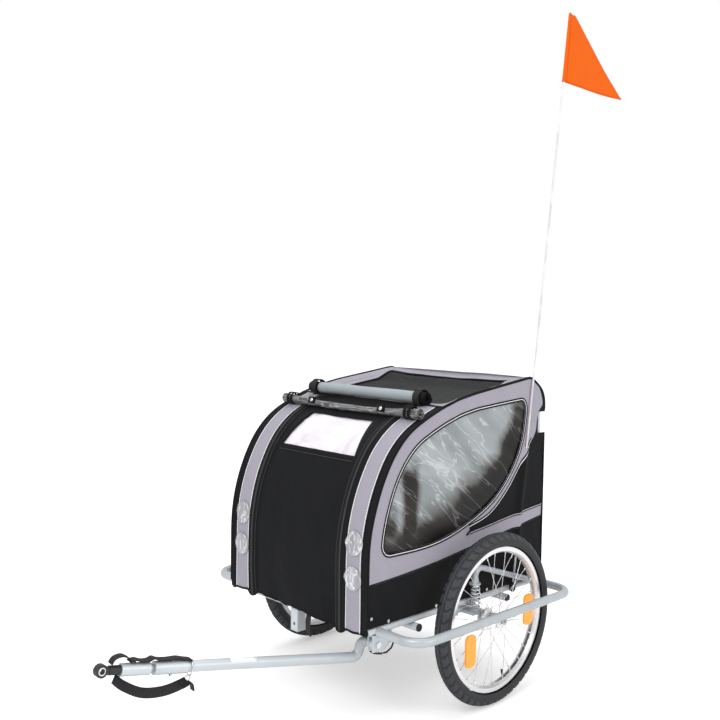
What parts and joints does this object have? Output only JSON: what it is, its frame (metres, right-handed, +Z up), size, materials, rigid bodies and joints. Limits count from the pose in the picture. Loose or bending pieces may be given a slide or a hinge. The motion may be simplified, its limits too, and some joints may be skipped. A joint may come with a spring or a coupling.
{
  "type": "bicycle trailer",
  "caption": "Two-wheeled fabric-cabin trailer on a tube frame, with a side tow bar, flexible hitch, sprung spoked wheels, wheel guards, windows and a safety flag.",
  "frame": {"origin": "on the ground, under the middle of the trailer's overall length and width with every joint at rest, which is 203 mm ahead of the wheels' axle", "axes": "+Z up; the tow bar points along -Y, so forward is -Y; +X is the side of the trailer that carries the tow bar"},
  "size_m": [0.909, 1.8735, 2.0836],
  "materials": {
    "silver_paint": "silver-grey powder coat",
    "hoop_tube": "silver-grey powder coat",
    "chrome": "bright plated",
    "polished_alloy": "polished",
    "spoke_steel": "bright",
    "black_plastic": "satin",
    "black_fabric": "woven polyester",
    "mat_fabric": "padded woven polyester",
    "grey_fabric": "woven polyester",
    "roof_net": "open mesh",
    "clear_film": "clear soft vinyl",
    "white_metal": "gloss",
    "webbing": "woven webbing",
    "tyre_rubber": "matt rubber",
    "amber_lens": "moulded lens",
    "white_rod": "smooth fibreglass",
    "flag_orange": "coated nylon"
  },
  "bodies": {
    "root": {"base_frame": "silver_paint", "cross_tubes": "silver_paint", "end_caps": "black_plastic", "wheel_guards": "silver_paint", "shock_towers": "hoop_tube", "arm_pins": "chrome", "shock_seats": "silver_paint", "spring_left": "chrome", "spring_right": "chrome", "hoop_bolts": "chrome", "floor_panel": "black_fabric", "floor_mat": "mat_fabric", "side_panel_left": "black_fabric", "side_panel_right": "black_fabric", "side_windows": "clear_film", "front_panel": "black_fabric", "front_window": "clear_film", "roof_panel": "grey_fabric", "roof_mesh": "roof_net", "rear_panel": "black_fabric", "cover_roll": "grey_fabric", "clear_roll": "clear_film", "roll_straps": "black_fabric", "trim_discs": "clear_film", "rail_snaps": "white_metal", "flag_socket": "black_plastic", "flag_pocket": "black_fabric", "tow_bracket": "silver_paint", "tow_bolts": "chrome", "retaining_strap": "black_plastic"},
    "rear_hoop": {"rear_hoop": "hoop_tube"},
    "front_hoop": {"front_hoop": "hoop_tube"},
    "arm_left": {"arm_left": "silver_paint"},
    "arm_right": {"arm_right": "silver_paint"},
    "button_left": {"axle_button_left": "chrome"},
    "button_right": {"axle_button_right": "chrome"},
    "wheel_left": {"hub_left": "polished_alloy", "bearings_left": "chrome", "spokes_left": "spoke_steel", "rim_left": "polished_alloy", "tyre_left": "tyre_rubber", "valve_left": "tyre_rubber", "wheel_reflectors_left": "amber_lens"},
    "wheel_right": {"hub_right": "polished_alloy", "bearings_right": "chrome", "spokes_right": "spoke_steel", "rim_right": "polished_alloy", "tyre_right": "tyre_rubber", "valve_right": "tyre_rubber", "wheel_reflectors_right": "amber_lens"},
    "flag_mast": {"flag_pole": "white_rod", "flag": "flag_orange"},
    "tow_arm": {"tow_bar": "hoop_tube", "hitch_sleeve_rear": "silver_paint", "hitch_bolts": "chrome", "safety_strap": "webbing", "carabiner": "chrome"},
    "hitch_head": {"hitch_sleeve_front": "silver_paint"},
    "hitch_eye": {"hitch_eye": "black_plastic"}
  },
  "joints": [
    {"name": "frame_fold", "type": "hinge", "parent": "root", "child": "rear_hoop", "pos_m": [0, 0.51925, 0.318], "axis": [1, 0, 0], "range_deg": [0, 72]},
    {"name": "front_fold", "type": "hinge", "parent": "root", "child": "front_hoop", "pos_m": [0, -0.21875, 0.318], "axis": [-1, 0, 0], "range_deg": [0, 60]},
    {"name": "arm_swing_left", "type": "hinge", "parent": "root", "child": "arm_left", "pos_m": [0.285, 0.20325, 0.262], "axis": [0, -1, 0], "range_deg": [-4, 10], "stiffness_Nm_per_rad": 60, "deforming": ["spring_left"]},
    {"name": "arm_swing_right", "type": "hinge", "parent": "root", "child": "arm_right", "pos_m": [-0.285, 0.20325, 0.262], "axis": [0, 1, 0], "range_deg": [-4, 10], "stiffness_Nm_per_rad": 60, "deforming": ["spring_right"]},
    {"name": "wheel_spin_left", "type": "hinge", "parent": "arm_left", "child": "wheel_left", "pos_m": [0.38, 0.20325, 0.25], "axis": [1, 0, 0], "continuous": true},
    {"name": "wheel_spin_right", "type": "hinge", "parent": "arm_right", "child": "wheel_right", "pos_m": [-0.38, 0.20325, 0.25], "axis": [1, 0, 0], "continuous": true},
    {"name": "axle_press_left", "type": "slide", "parent": "arm_left", "child": "button_left", "axis": [1, 0, 0], "range_m": [-0.004, 0]},
    {"name": "axle_press_right", "type": "slide", "parent": "arm_right", "child": "button_right", "axis": [-1, 0, 0], "range_m": [-0.004, 0]},
    {"name": "flag_pull", "type": "slide", "parent": "root", "child": "flag_mast", "axis": [0, 0.1271, 0.9919], "range_m": [0, 0.08]},
    {"name": "tow_arm_tilt", "type": "hinge", "parent": "root", "child": "tow_arm", "pos_m": [0.28, -0.19275, 0.246], "axis": [-1, 0, 0], "range_deg": [-6, 58]},
    {"name": "hitch_flex", "type": "hinge", "parent": "tow_arm", "child": "hitch_head", "pos_m": [0.16424, -0.80199, 0.30556], "axis": [0, -0.1762, -0.9844], "range_deg": [-30, 30]},
    {"name": "eye_roll", "type": "hinge", "parent": "hitch_head", "child": "hitch_eye", "pos_m": [0.1593, -0.84354, 0.313], "axis": [0.1162, 0.9777, -0.175], "range_deg": [-45, 45]}
  ],
  "couplings": [
    {"joint": "front_fold", "follows": "frame_fold", "ratio": 0.83333}
  ]
}
